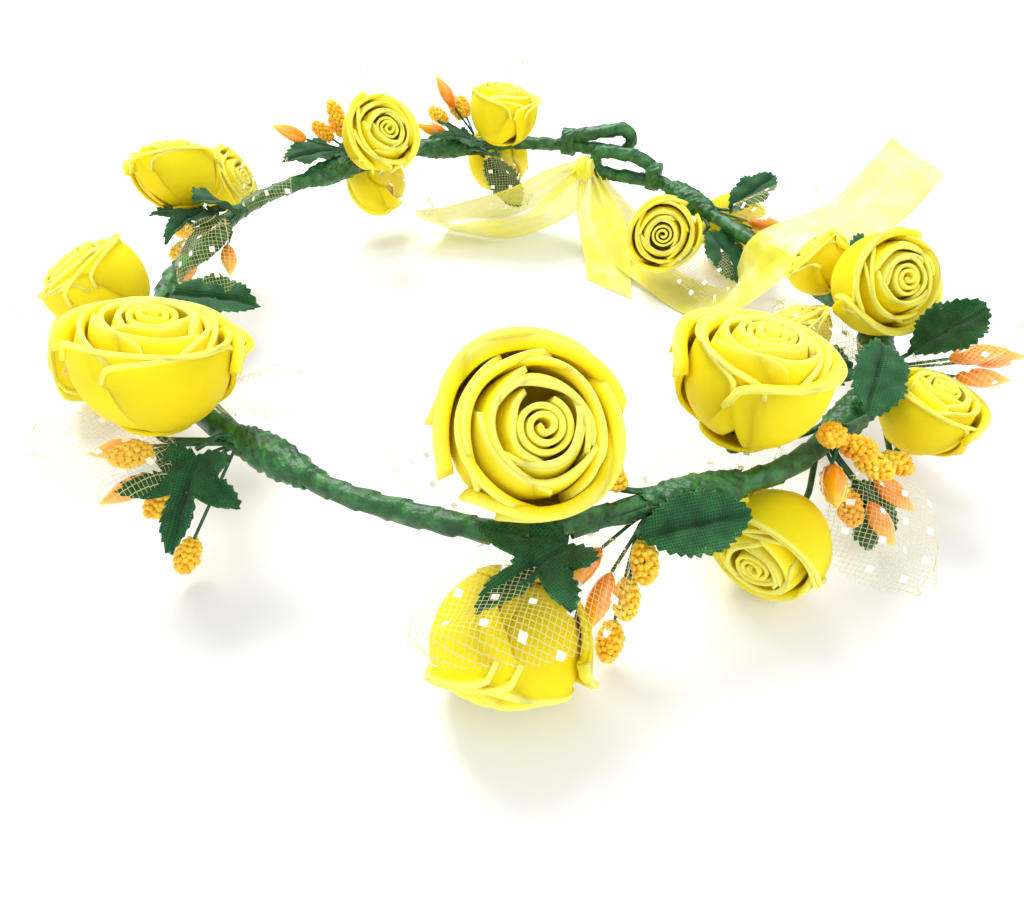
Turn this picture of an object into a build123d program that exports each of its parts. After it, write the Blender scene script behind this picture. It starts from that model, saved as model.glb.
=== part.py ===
from build123d import *
import os
from math import atan2, cos, degrees, radians, sin, tan

# A flower crown. A covered wire is bent into a hoop, and each of its two ends is turned back
# into a long eye at the closure. Floral tape is wound over the hoop. Ten bunches are bound to
# it the same way round: two foam roses, fabric leaves, stamens and a scrap of dotted tulle.
# An organza ribbon is tied through the two eyes.
#
# Frame: millimetres, +Z up, the table at Z = 0, the origin on the table at the middle of the
# head opening, and +Y towards the closure at the back.

os.makedirs("parts", exist_ok=True)

# ---------------------------------------------------------------- driving dimensions
HOOP_RADIUS = 92.0         # nominal radius of the wire's centre line
STEM_HEIGHT = 29.0         # the wire's centre line above the table at the front

CORE_DIAMETER = 1.4        # annealed steel wire
COVER_WALL = 0.4           # paper cover spun over the wire
TAPE_WALL = 1.1            # floral tape, several turns deep
CORNER_SHARE = 0.28        # part of a run that the bend beside it may use

EYE_WIDTH = 8.8            # centre line to centre line, at the widest of an eye
EYE_TURN_SHARE = 0.48      # an eye's end is close to a half circle
TAB_LENGTH = 5.0           # tape tab over the end that is turned back
TAB_WALL = 1.0

BINDING_LENGTH = 22.0      # tape bound over a bunch's wires
BINDING_RADIUS = 3.9       # at the middle
BINDING_END_RADIUS = 2.5

ROSE_STEM_DIAMETER = 1.3
LEAF_STEM_DIAMETER = 1.0
LEAF_STEM_GAP = 0.6        # glue between a leaf's stem and the leaf
STAMEN_WIRE_DIAMETER = 0.7
WIRE_GAP = 0.05            # between the hoop's tape and a wire laid along it
WIRE_BEND_SHARE = 0.4      # part of a wire's run that the bend beside it may use
SPREAD_ROUNDS = 60         # how often neighbouring wires or stamens are pushed apart

ROSE_DIAMETERS = {"large": 31.0, "medium": 25.0, "small": 22.0, "bud": 17.0}
ROSE_HEIGHT_SHARE = 0.72   # a rose's height for its diameter
MIDDLE_SHARE = 0.56        # height of the petals' common centre for the rose's height
ROSE_NECK = 5.0            # the last straight piece of a rose's stem
PETAL_COUNT = 8
INNER_PETALS = 3
BUD_SHARE = 0.86           # the bud's radius for the room inside the first petal
BUD_SHOULDER = 0.75        # a point of its rounded top, as a share of its radius and rise
BUD_TIP = 0.2              # the flat end of the roll, as a share of its radius
SEAT_ANGLE = -62           # the cone that the petals are glued to, from the rose's middle
PETAL_FOOT = -61           # a petal ends a glue line above that cone
PETAL_SHARE = 0.030        # foam thickness for the rose's diameter
LAYER_SHARE = 0.0375       # from one petal layer to the next

LEAF_THICKNESS = 0.5
LEAF_LENGTH = 22.0
LEAF_WIDTH = 12.0
IVY_LOBES = [(-128, 8.5), (-64, 13.0), (0, 16.0), (64, 13.0), (128, 8.5)]
IVY_NOTCH = 5.0

BERRY_LENGTH = 8.5         # a cluster of sugar beads
BERRY_DIAMETER = 5.4
PIP_LENGTH = 9.5           # a lacquered teardrop
PIP_DIAMETER = 4.6
STAMEN_ROOM = 6.0          # from the middle of one to the next, side by side
ROSE_BALL_SHARE = 0.46     # a rose as a ball that stamens keep off, for its diameter

TULLE_THICKNESS = 0.4      # the net with its folds
RIBBON_WIDTH = 20.0
RIBBON_GATHER = 5.0        # its width where it goes into the knot
RIBBON_THICKNESS = 0.6
KNOT_RADIUS = 3.6

COVER_DIAMETER = CORE_DIAMETER + 2 * COVER_WALL
STEM_DIAMETER = COVER_DIAMETER + 2 * TAPE_WALL
UP = Vector(0, 0, 1)


def around(angle, outward, up):
    """A point by its angle on the hoop, its distance outside it and its height over the wire."""
    reach = HOOP_RADIUS + outward
    return Vector(reach * cos(radians(angle)), reach * sin(radians(angle)), STEM_HEIGHT + up)


def behind(across, outward, up):
    """A point at the closure: across it, outside the hoop and over the wire."""
    return Vector(across, HOOP_RADIUS + outward, STEM_HEIGHT + up)


def direction(azimuth, elevation):
    flat = cos(radians(elevation))
    return Vector(flat * cos(radians(azimuth)), flat * sin(radians(azimuth)), sin(radians(elevation)))


def corner_radii(points, share):
    """The bend radius at each corner, so that a bend uses this share of its shorter run."""
    radii = []
    for before, corner, after in zip(points, points[1:], points[2:]):
        first = corner - before
        second = after - corner
        half_turn = radians(first.get_angle(second)) / 2
        radii.append(share * min(first.length, second.length) / tan(half_turn))
    return radii


def finish(builder, name):
    builder.part.label = name
    export_step(builder.part, f"parts/{name}.step")


def finish_group(pieces, name):
    """Separate solids that stay separate in one node."""
    group = Compound(label=name, children=pieces)
    export_step(group, f"parts/{name}.step")
    return group


# ---------------------------------------------------------------- the wire's route
CORNERS = {
    "left_root": behind(-17, 1, 3),
    "f": around(113, 3, 3),
    "g": around(139, 3, 4),
    "h": around(174, 4, 3),
    "i": around(206, 5, 1),
    "j": around(237, 4, 1),
    "front_left": around(269, 1, 0),
    "a": around(289, 5, 0),
    "b": around(324, 4, 0),
    "c": around(349, 5, -1),
    "d": around(369, 2, -2),
    "bare_right": around(390, -9.5, -5),
    "e": around(412, -10.5, -5.5),
    "right_root": behind(25, -7, -3),
}
LEFT_TIP = behind(10, 1, 3)
RIGHT_TIP = behind(-1, -5, -3)
LEFT_TAPE_END = behind(-13, 1, 3)
RIGHT_TAPE_END = CORNERS["right_root"] + (RIGHT_TIP - CORNERS["right_root"]).normalized() * 4

left_eye_points = [
    behind(-14, 1, 5.9),
    LEFT_TIP + UP * EYE_WIDTH,
    LEFT_TIP,
    LEFT_TAPE_END,
]
hoop_points = [LEFT_TAPE_END, *CORNERS.values(), RIGHT_TAPE_END]
right_eye_points = [
    RIGHT_TAPE_END,
    RIGHT_TIP,
    RIGHT_TIP + UP * (EYE_WIDTH - 1),
    behind(15, -6, EYE_WIDTH - 4),
    behind(22, -6.7, 0.2),
]

with BuildLine() as left_eye_line:
    FilletPolyline(*left_eye_points, radius=corner_radii(left_eye_points, EYE_TURN_SHARE))
with BuildLine() as hoop_line:
    FilletPolyline(*hoop_points, radius=corner_radii(hoop_points, CORNER_SHARE))
with BuildLine() as right_eye_line:
    FilletPolyline(*right_eye_points, radius=corner_radii(right_eye_points, EYE_TURN_SHARE))
with BuildLine() as wire_line:
    add(left_eye_line.line)
    add(hoop_line.line)
    add(right_eye_line.line)


wire_path = wire_line.wires()[0]
wire_start = Plane(origin=wire_path @ 0, z_dir=wire_path % 0)
hoop_path = hoop_line.wires()[0]
hoop_start = Plane(origin=hoop_path @ 0, z_dir=hoop_path % 0)

with BuildPart() as hoop_wire:
    with BuildSketch(wire_start):
        Circle(CORE_DIAMETER / 2)
    sweep(path=wire_path)
finish(hoop_wire, "hoop_wire")

with BuildPart() as wire_cover:
    with BuildSketch(wire_start):
        Circle(COVER_DIAMETER / 2)
        Circle(CORE_DIAMETER / 2, mode=Mode.SUBTRACT)
    sweep(path=wire_path)
finish(wire_cover, "wire_cover")

with BuildPart() as stem_tape:
    with BuildSketch(hoop_start):
        Circle(STEM_DIAMETER / 2)
        Circle(COVER_DIAMETER / 2, mode=Mode.SUBTRACT)
    sweep(path=hoop_path)
finish(stem_tape, "stem_tape")


# ---------------------------------------------------------------- the bunches' places
# Each bunch is bound to one straight run of the hoop. The places in it are measured from the
# end of its binding that the flowers stand at: along the hoop on past the binding, outward
# from the hoop, and up.
class Bunch:
    def __init__(self, name, start, end, share, roses, leaves, berries, pips, tulle):
        self.name = name
        first, last = CORNERS[start], CORNERS[end]
        self.middle = first + (last - first) * share
        self.along = (first - last).normalized()
        self.outward = UP.cross(self.along).normalized()
        if self.outward.dot(Vector(self.middle.X, self.middle.Y, 0)) < 0:
            self.outward = self.outward * -1
        self.end = self.middle + self.along * (BINDING_LENGTH / 2)
        self.roses, self.leaves, self.berries = roses, leaves, berries
        self.pips, self.tulle = pips, tulle

    def place(self, along, outward, up):
        return self.end + self.along * along + self.outward * outward + UP * up


# roses: name, place, azimuth and elevation that it faces, size
# leaves: shape, place of its base, place of its tip, roll about that line
# tulle: place of the root, place of the tip, width, roll about that line
BUNCHES = [
    Bunch("a", "a", "b", 0.62,
          [("upper", (21, -5, 19), -48, 48, "large"), ("lower", (29, 11, -14), -78, -40, "large")],
          [("pointed", (3, 6, 0), (-13, 9, -5), 40), ("ivy", (17, 7, 5), (33, 14, 4), 0)],
          [(2, 8, -6), (5, 9, -15), (9, 12, -23), (5, -5, 6)],
          [(13, 9, -12), (12, 4, -8)],
          [((7, -8, 2), (40, -30, 7), 24, 80), ((7, 8, 1), (46, 18, 3), 22, 0)]),
    Bunch("b", "b", "c", 0.62,
          [("upper", (15, -13, 15), 60, 82, "large"), ("lower", (21, 3, -14), -112, -8, "medium")],
          [("pointed", (-6, 4, 4), (-14, 3, -17), 90), ("pointed", (-1, 8, -8), (1, 19, -20), 30)],
          [(8, 2, 6), (2, 6, 2), (-2, 10, -3), (-13, 12, -7), (6, 6, -6), (3, 10, -12)],
          [(-6, 14, -10), (-3, 15, -16), (12, 4, 0)],
          [((5, -7, -4), (34, -20, -9), 22, 0), ((2, 8, -4), (8, 30, -18), 22, 10)]),
    Bunch("c", "c", "d", 0.5,
          [("upper", (12, 9, -2), 20, 78, "small"), ("lower", (-10, -19, 1), 150, 60, "bud")],
          [("pointed", (-4, 6, 4), (-12, 12, 16), 60), ("pointed", (2, -6, 2), (8, -16, 6), 20)],
          [(-8, 16, -6), (-2, 16, -12), (-12, 10, -10), (4, 20, -14)],
          [(-3, 21, 0), (-9, 25, 2), (-4, 18, 5)],
          [((-2, 6, 4), (-4, 34, 12), 20, 0), ((0, -5, 4), (-4, -27, 10), 14, 0)]),
    Bunch("d", "d", "bare_right", 0.45,
          [("upper", (14, -11, 15), -55, 35, "medium"), ("lower", (-4, -13, 13), 170, 35, "bud")],
          [("pointed", (-7, 5, 5), (-17, 10, 22), 80), ("pointed", (-4, 6, 1), (-20, 16, 4), 20)],
          [(4, 12, -4), (-4, 12, -10), (2, 10, 8)],
          [(3, -7, 2), (-6, 14, 5)],
          [((3, -6, -1), (6, -28, -9), 20, 0), ((2, 7, -1), (-16, 24, 3), 20, 0)]),
    Bunch("e", "e", "right_root", 0.55,
          [("upper", (-5, -16, -5), -83, 20, "medium"), ("lower", (-6, 16, -11), 60, -5, "medium")],
          [("pointed", (3, 5, 2), (1, 20, 3), 20), ("pointed", (4, -4, -2), (22, -8, -6), 10)],
          [(14, 8, -10), (18, 12, -14), (12, 14, -4)],
          [(16, 4, 2), (20, 6, -6)],
          [((4, 5, 4), (26, 18, 14), 22, 0), ((6, -6, -5), (22, -20, -15), 18, 0)]),
    Bunch("f", "f", "g", 0.5,
          [("upper", (7, -11, 14), 40, 80, "medium"), ("lower", (11, 12, -10), 115, -25, "medium")],
          [("ivy", (-1, -5, 3), (-14, -9, 11), 15), ("pointed", (3, -1, -5), (8, -12, -14), 30)],
          [(-6, 6, 12), (-12, 10, 8), (-2, 12, 10)],
          [(-9, 4, 16), (-14, 4, 3)],
          [((4, 5, 4), (24, 14, 18), 24, 20), ((3, -5, -3), (14, -16, -18), 22, 10)]),
    Bunch("g", "g", "h", 0.42,
          [("upper", (0, -13, 11), -30, 35, "medium"), ("lower", (13, 9, -13), 130, -40, "small")],
          [("pointed", (-5, 4, 5), (-21, 6, 15), 30), ("pointed", (2, 6, -4), (8, 27, -4), 10)],
          [(-2, 8, 15), (1, 13, 9), (-6, 12, 9)],
          [(-22, 3, 14), (6, 14, 6)],
          [((4, 5, 4), (16, 16, 22), 22, 20), ((5, -4, -4), (18, -14, -22), 20, 10)]),
    Bunch("h", "h", "i", 0.5,
          [("upper", (0, 12, 14), 130, 70, "medium"), ("lower", (24, 12, 1), 20, 20, "small")],
          [("ivy", (-3, 3, 6), (-16, 4, 7), 0), ("pointed", (2, -4, 3), (10, -8, 20), 80)],
          [(-8, 12, -6), (-2, 14, -10), (4, 18, -6)],
          [(-12, -6, -4), (-14, 8, -9)],
          [((4, -5, 4), (18, -18, 14), 24, 20), ((8, 8, -3), (22, 30, -12), 18, 0)]),
    Bunch("i", "i", "j", 0.42,
          [("upper", (-1, 12, 9), 200, 60, "medium"), ("lower", (9, 24, -15), 215, 10, "small")],
          [("pointed", (-3, 5, 3), (-18, 4, 8), 20), ("pointed", (-1, -4, 4), (-8, -16, 2), 20)],
          [(-8, 14, -10), (-12, 8, -14), (-2, 8, -14)],
          [(-10, 18, -4), (-14, 12, -4)],
          [((3, 7, -2), (14, 36, -3), 22, 0), ((3, -6, 3), (10, -24, 10), 22, 20)]),
    Bunch("j", "j", "front_left", 0.62,
          [("upper", (11, 5, 16), 60, 74, "large"), ("lower", (30, -18, 0), 45, 60, "bud")],
          [("ivy", (1, 8.5, 1), (-7, 20.5, -14.4), -24)],
          [(12, 14, 3), (9, 16, -12), (3, 18, -23), (6, 10, -8)],
          [(15, 15, -1), (12, 18, -7)],
          [((5, 10, 1), (20, 28, 8), 24, 0), ((4, -6, 0), (16, -26, -12), 24, 10)]),
]


def push(offset, room):
    """How far to move along an offset so that it is as long as the room that is needed."""
    return offset.normalized() * max(room - offset.length, 0)


def settle_stamens(bunch):
    """A bunch's berries and pips, pushed apart, clear of every rose and the hoop, off the table."""
    points = [bunch.place(*place) for place in bunch.berries + bunch.pips]
    for attempt in range(SPREAD_ROUNDS):
        for index, point in enumerate(points):
            for other in points[:index] + points[index + 1:]:
                point += push(point - other, STAMEN_ROOM)
            for centre, radius in ROSE_BALLS:
                point += push(point - centre, radius + PIP_LENGTH / 2)
            offset = point - bunch.end
            off_the_hoop = offset - bunch.along * offset.dot(bunch.along)
            point += push(off_the_hoop, BINDING_RADIUS + STAMEN_ROOM / 2)
            points[index] = point + UP * max(BERRY_LENGTH / 2 - point.Z, 0)
    return points[:len(bunch.berries)], points[len(bunch.berries):]


ROSE_BALLS = []
for bunch in BUNCHES:
    for name, place, azimuth, elevation, size in bunch.roses:
        ROSE_BALLS.append((bunch.place(*place), ROSE_DIAMETERS[size] * ROSE_BALL_SHARE))
for bunch in BUNCHES:
    bunch.berry_points, bunch.pip_points = settle_stamens(bunch)


# ---------------------------------------------------------------- foam roses
def make_petal(diameter, layer, turn):
    """One petal of a rose that stands on the origin: a thin round shell, cut to a leaf shape."""
    height = diameter * ROSE_HEIGHT_SHARE
    centre = height * MIDDLE_SHARE
    thickness = diameter * PETAL_SHARE
    radius = diameter * (0.5 - PETAL_SHARE - LAYER_SHARE * (PETAL_COUNT - 1 - layer))
    top_angle = 58 - 3 * layer if layer < INNER_PETALS else 42 - 3 * layer
    half_height = (radius * sin(radians(top_angle)) + radius * 0.95) / 2
    with BuildPart() as petal:
        with BuildSketch(Plane.XZ):
            with BuildLine():
                outer = CenterArc((0, centre), radius + thickness, PETAL_FOOT, top_angle - PETAL_FOOT)
                inner = CenterArc((0, centre), radius, PETAL_FOOT, top_angle - PETAL_FOOT)
                Line(outer @ 0, inner @ 0)
                Line(outer @ 1, inner @ 1)
            make_face()
        revolve(axis=Axis.Z, revolution_arc=180)
        with BuildSketch(Plane.XZ):
            with Locations((0, centre - radius * 0.95 + half_height)):
                Ellipse(radius * 0.95, half_height)
        extrude(amount=-(radius + 2 * thickness), mode=Mode.INTERSECT)
    return petal.part.rotate(Axis.Z, turn)


def make_bud(diameter):
    """The rolled middle of a rose, with the cone below it that the petals are glued to."""
    height = diameter * ROSE_HEIGHT_SHARE
    centre = height * MIDDLE_SHARE
    largest = diameter * (0.5 - PETAL_SHARE)
    smallest = largest - diameter * LAYER_SHARE * (PETAL_COUNT - 1)
    waist = smallest * BUD_SHARE
    outside = largest + diameter * PETAL_SHARE
    seat = smallest * cos(radians(SEAT_ANGLE)), centre + smallest * sin(radians(SEAT_ANGLE))
    skirt = outside * cos(radians(SEAT_ANGLE)), centre + outside * sin(radians(SEAT_ANGLE))
    with BuildPart() as bud:
        with BuildSketch(Plane.XZ):
            with BuildLine():
                Line((0, skirt[1]), skirt)
                Line(skirt, seat)
                Line(seat, (waist, centre))
                shoulder = waist * BUD_SHOULDER, centre + (height - centre) * BUD_SHOULDER
                crown = (waist, centre), shoulder, (waist * BUD_TIP, height)
                Spline(*crown, tangents=[(0, 1), (-1, 0)])
                Line((waist * BUD_TIP, height), (0, height))
                Line((0, height), (0, skirt[1]))
            make_face()
        revolve(axis=Axis.Z)
    return bud.part


def make_rose(diameter):
    """A bud and its petals. Each petal is a layer further out and a fifth or a third turned."""
    pieces = [make_bud(diameter)]
    for layer in range(PETAL_COUNT):
        step = 120 if layer < INNER_PETALS else 144
        pieces.append(make_petal(diameter, layer, layer * step + 25))
    return pieces


ROSES = {size: make_rose(diameter) for size, diameter in ROSE_DIAMETERS.items()}


def rose_plane(bunch, rose):
    """The plane at a rose's foot: its place is the middle of its height."""
    name, place, azimuth, elevation, size = rose
    facing = direction(azimuth, elevation)
    half_height = ROSE_DIAMETERS[size] * ROSE_HEIGHT_SHARE / 2
    return Plane(origin=bunch.place(*place) - facing * half_height, z_dir=facing)


rose_groups = []
for bunch in BUNCHES:
    for rose in bunch.roses:
        where = rose_plane(bunch, rose).location
        petals = [piece.moved(where) for piece in ROSES[rose[4]]]
        rose_groups.append(finish_group(petals, f"rose_{rose[0]}_{bunch.name}"))


# ---------------------------------------------------------------- the wires that pieces stand on
def stamen_foot(bunch, middle, length):
    """Where a berry or a pip meets its wire: it points straight away from the binding's end."""
    pointing = (middle - bunch.end).normalized()
    return middle - pointing * (length / 2), pointing


def rose_foot(bunch, rose):
    """The underside of a rose's cone, where its stem ends, and the direction it faces."""
    plane = rose_plane(bunch, rose)
    diameter = ROSE_DIAMETERS[rose[4]]
    rise = diameter * (ROSE_HEIGHT_SHARE * MIDDLE_SHARE + 0.5 * sin(radians(SEAT_ANGLE)))
    return plane.origin + plane.z_dir * rise, plane.z_dir


def wires_wanted(bunch):
    """Every wire of a bunch: its node, its diameter, how deep it is bound and its last points."""
    wanted = []
    for rose in bunch.roses:
        foot, facing = rose_foot(bunch, rose)
        wanted.append(("rose_stems", ROSE_STEM_DIAMETER, 9, [foot - facing * ROSE_NECK, foot]))
    for shape, base, tip, roll in bunch.leaves:
        base = bunch.place(*base)
        short_of_leaf = base - (bunch.place(*tip) - base).normalized() * LEAF_STEM_GAP
        wanted.append(("leaf_stems", LEAF_STEM_DIAMETER, 7, [short_of_leaf]))
    for points, length in ((bunch.berry_points, BERRY_LENGTH), (bunch.pip_points, PIP_LENGTH)):
        for point in points:
            foot, pointing = stamen_foot(bunch, point, length)
            wanted.append(("stamen_wires", STAMEN_WIRE_DIAMETER, 5, [foot]))
    return wanted


def spread_round(wanted, bunch):
    """The angle round the hoop at which each wire is bound: towards its target, side by side."""
    angles = []
    for name, diameter, depth, points in wanted:
        offset = points[0] - bunch.end
        angles.append(degrees(atan2(offset.Z, offset.dot(bunch.outward))))
    order = sorted(range(len(angles)), key=lambda index: angles[index])
    for attempt in range(SPREAD_ROUNDS):
        for place, index in enumerate(order):
            after = order[(place + 1) % len(order)]
            turn = 360 if place + 1 == len(order) else 0
            room = (wanted[index][1] + wanted[after][1]) / 2 + WIRE_GAP
            needed = degrees(room / (STEM_DIAMETER / 2 + STAMEN_WIRE_DIAMETER / 2))
            short = needed - (angles[after] + turn - angles[index])
            if short > 0:
                angles[index] -= short / 2
                angles[after] += short / 2
    return angles


def make_bound_wire(bunch, angle, diameter, inside, last_points):
    """A wire from inside the binding, along the hoop, out at its end and on to its target."""
    reach = STEM_DIAMETER / 2 + WIRE_GAP + diameter / 2
    ring = bunch.outward * (reach * cos(radians(angle))) + UP * (reach * sin(radians(angle)))
    points = [bunch.end - bunch.along * inside + ring, bunch.end + ring, *last_points]
    with BuildLine() as line:
        FilletPolyline(*points, radius=corner_radii(points, WIRE_BEND_SHARE))
    path = line.wires()[0]
    with BuildPart() as wire:
        with BuildSketch(Plane(origin=path @ 0, z_dir=path % 0)):
            Circle(diameter / 2)
        sweep(path=path)
    return wire.part.solid()


bound_wires = {}
wire_nodes = {"rose_stems": [], "leaf_stems": [], "stamen_wires": []}
for bunch in BUNCHES:
    wanted = wires_wanted(bunch)
    angles = spread_round(wanted, bunch)
    bound_wires[bunch.name] = []
    for (node, diameter, inside, last_points), angle in zip(wanted, angles):
        wire = make_bound_wire(bunch, angle, diameter, inside, last_points)
        bound_wires[bunch.name].append(wire)
        wire_nodes[node].append(wire)
for node, wires in wire_nodes.items():
    finish_group(wires, node)


# ---------------------------------------------------------------- stamens
with BuildPart() as berry:
    with BuildSketch(Plane.XZ):
        with BuildLine():
            radii = BERRY_DIAMETER / 2, BERRY_LENGTH / 2
            EllipticalCenterArc((0, BERRY_LENGTH / 2), *radii, start_angle=-90, arc_size=180)
            Line((0, BERRY_LENGTH), (0, 0))
        make_face()
    revolve(axis=Axis.Z)

with BuildPart() as pip:
    round_end = PIP_LENGTH - PIP_DIAMETER / 2
    neck = (STAMEN_WIRE_DIAMETER / 2, 0)
    with BuildSketch(Plane.XZ):
        with BuildLine():
            Line((0, 0), neck)
            Line(neck, (PIP_DIAMETER / 2, round_end))
            CenterArc((0, round_end), PIP_DIAMETER / 2, 0, 90)
            Line((0, PIP_LENGTH), (0, 0))
        make_face()
    revolve(axis=Axis.Z)


def on_wires(bunch, points, shape, length):
    """A copy of a berry or a pip at each point."""
    copies = []
    for point in points:
        foot, pointing = stamen_foot(bunch, point, length)
        copies.append(shape.part.solid().moved(Plane(origin=foot, z_dir=pointing).location))
    return copies


pips = []
for bunch in BUNCHES:
    berries = on_wires(bunch, bunch.berry_points, berry, BERRY_LENGTH)
    finish_group(berries, f"berries_{bunch.name}")
    pips += on_wires(bunch, bunch.pip_points, pip, PIP_LENGTH)
finish_group(pips, "pips")


# ---------------------------------------------------------------- leaves and tulle
def flap_plane(root, tip, roll):
    """A plane at the root with X towards the tip, level across before it is rolled about X."""
    forward = (tip - root).normalized()
    across = UP.cross(forward).normalized()
    level = Plane(origin=root, x_dir=forward, z_dir=forward.cross(across))
    return level.rotated((roll, 0, 0))


def pointed_outline():
    Line((0, -0.4), (0, 0.4))
    ThreePointArc((0, 0.4), (LEAF_LENGTH * 0.42, LEAF_WIDTH / 2), (LEAF_LENGTH, 0))
    ThreePointArc((LEAF_LENGTH, 0), (LEAF_LENGTH * 0.42, -LEAF_WIDTH / 2), (0, -0.4))


def ivy_outline():
    """Five lobes about a middle that is a notch's length from the leaf stalk."""
    middle = Vector(IVY_NOTCH, 0)
    tips = [middle + Vector(length, 0).rotate(Axis.Z, angle) for angle, length in IVY_LOBES]
    notches = []
    for (low, first), (high, second) in zip(IVY_LOBES, IVY_LOBES[1:]):
        notches.append(middle + Vector(IVY_NOTCH, 0).rotate(Axis.Z, (low + high) / 2))
    stalk = Vector(0, 0)
    inner = [stalk, *notches, stalk]
    for before, tip, after in zip(inner, tips, inner[1:]):
        for start, end, bulge in ((before, tip, -1), (tip, after, -1)):
            middle_of_side = (start + end) / 2
            outwards = Vector(0, 0, 1).cross(end - start).normalized() * (bulge * 1.2)
            ThreePointArc(start, middle_of_side + outwards, end)


def make_leaf(shape, plane):
    with BuildPart() as leaf:
        with BuildSketch(plane):
            with BuildLine():
                if shape == "ivy":
                    ivy_outline()
                else:
                    pointed_outline()
            make_face()
        extrude(amount=LEAF_THICKNESS / 2, both=True)
    return leaf.part.solid()


def make_tulle_flap(start, end, width, roll):
    """One fold of net, a kite from the binding to its point."""
    length = (end - start).length
    with BuildPart() as flap:
        with BuildSketch(flap_plane(start, end, roll)):
            kite = [(0, -1), (0.6 * length, -width / 2), (length, 0), (0.6 * length, width / 2), (0, 1)]
            Polygon(*kite, align=None)
        extrude(amount=TULLE_THICKNESS / 2, both=True)
    return flap.part.solid()


for bunch in BUNCHES:
    leaves = []
    for shape, base, tip, roll in bunch.leaves:
        leaves.append(make_leaf(shape, flap_plane(bunch.place(*base), bunch.place(*tip), roll)))
    finish_group(leaves, f"leaves_{bunch.name}")
    flaps = []
    for root, tip, width, roll in bunch.tulle:
        flaps.append(make_tulle_flap(bunch.place(*root), bunch.place(*tip), width, roll))
    finish_group(flaps, f"tulle_{bunch.name}")


# ---------------------------------------------------------------- tape round the bunches and eyes
with BuildPart() as taped_hoop:
    with BuildSketch(hoop_start):
        Circle(STEM_DIAMETER / 2)
    sweep(path=hoop_path)

with BuildPart() as covered_wire:
    with BuildSketch(wire_start):
        Circle(COVER_DIAMETER / 2)
    sweep(path=wire_path)


def make_binding(bunch):
    """A spindle of tape over the hoop and the bunch's wires."""
    half = BINDING_LENGTH / 2
    with BuildPart() as binding:
        with BuildSketch(Plane(origin=bunch.middle, x_dir=bunch.along, z_dir=bunch.outward)):
            with BuildLine():
                Line((-half, 0), (-half, BINDING_END_RADIUS))
                ThreePointArc((-half, BINDING_END_RADIUS), (0, BINDING_RADIUS), (half, BINDING_END_RADIUS))
                Line((half, BINDING_END_RADIUS), (half, 0))
                Line((half, 0), (-half, 0))
            make_face()
        revolve(axis=Axis(bunch.middle, bunch.along))
        add(taped_hoop.part, mode=Mode.SUBTRACT)
        for wire in bound_wires[bunch.name]:
            add(wire, mode=Mode.SUBTRACT)
    return binding.part.solids().sort_by(SortBy.VOLUME)[-1]


bindings = finish_group([make_binding(bunch) for bunch in BUNCHES], "bunch_bindings")

EYE_TABS = {
    "left": (Plane(origin=behind(-13, 1, 4.3), x_dir=(0, 0, 1), z_dir=(1, 0, 0)), 2.9),
    "right": (Plane(origin=behind(21, -6.7, -1.2), x_dir=(0, 0, 1), z_dir=(1, 0, 0)), 3.2),
}


def make_tab(plane, spread):
    with BuildPart() as tab:
        with BuildSketch(plane):
            SlotCenterToCenter(spread, STEM_DIAMETER + 2 * TAB_WALL)
        extrude(amount=TAB_LENGTH / 2, both=True)
        add(taped_hoop.part, mode=Mode.SUBTRACT)
        add(covered_wire.part, mode=Mode.SUBTRACT)
    return tab.part.solids().sort_by(SortBy.VOLUME)[-1]


eye_tabs = finish_group([make_tab(*place) for place in EYE_TABS.values()], "eye_tabs")


# ---------------------------------------------------------------- ribbon
# Stations along each run of the ribbon: the middle of its width, its width there, and the
# azimuth and elevation of the line across it. Every run starts gathered into the knot.
KNOT = behind(-4, -8.5, -1)
BOW_LOOP = [
    (behind(-7, -5, -3), RIBBON_GATHER, 250, 60),
    (behind(-20, -9, -11), RIBBON_WIDTH, 250, 45),
    (behind(-36, -13, -18), RIBBON_WIDTH, 250, 35),
    (behind(-50, -17, -21.5), RIBBON_WIDTH, 250, 35),
    (behind(-58, -21, -22), RIBBON_WIDTH, 250, 35),
    (behind(-59, -26, -22), RIBBON_WIDTH, 250, 35),
    (behind(-53, -29, -22), RIBBON_WIDTH, 250, 35),
    (behind(-38, -27, -22), RIBBON_WIDTH, 250, 35),
    (behind(-20, -20, -19), RIBBON_WIDTH, 250, 35),
    (behind(-9, -13, -11), RIBBON_WIDTH, 250, 45),
    (behind(-5, -8, -2), RIBBON_GATHER, 250, 60),
]
SHORT_TAIL = [
    (behind(-2, -7.5, -2), RIBBON_GATHER, 0, 0),
    (behind(6, -18, -15), RIBBON_WIDTH, -10, 0),
    (behind(12, -29, -26), RIBBON_WIDTH, -20, 0),
    (behind(16, -42, -28), RIBBON_WIDTH, -25, 0),
]
LONG_TAIL = [
    (behind(1, -7, -4), RIBBON_GATHER, 30, 0),
    (behind(11, -11, -18), RIBBON_WIDTH, 40, 0),
    (behind(24, -24, -26), RIBBON_WIDTH, 58, 0),
    (around(48, -22, -27.5), RIBBON_WIDTH, 70, 0),
    (around(38, -19, -20), RIBBON_WIDTH, 105, 0),
    (around(32, -15, -3), RIBBON_WIDTH, 130, 0),
    (around(31, -7, 3), RIBBON_WIDTH, 130, 0),
    (around(31, 7, 7), RIBBON_WIDTH, 130, 10),
    (around(34, 21, 12), RIBBON_WIDTH, 140, 15),
    (around(38, 36, 18), RIBBON_WIDTH, 150, 20),
]


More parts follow.
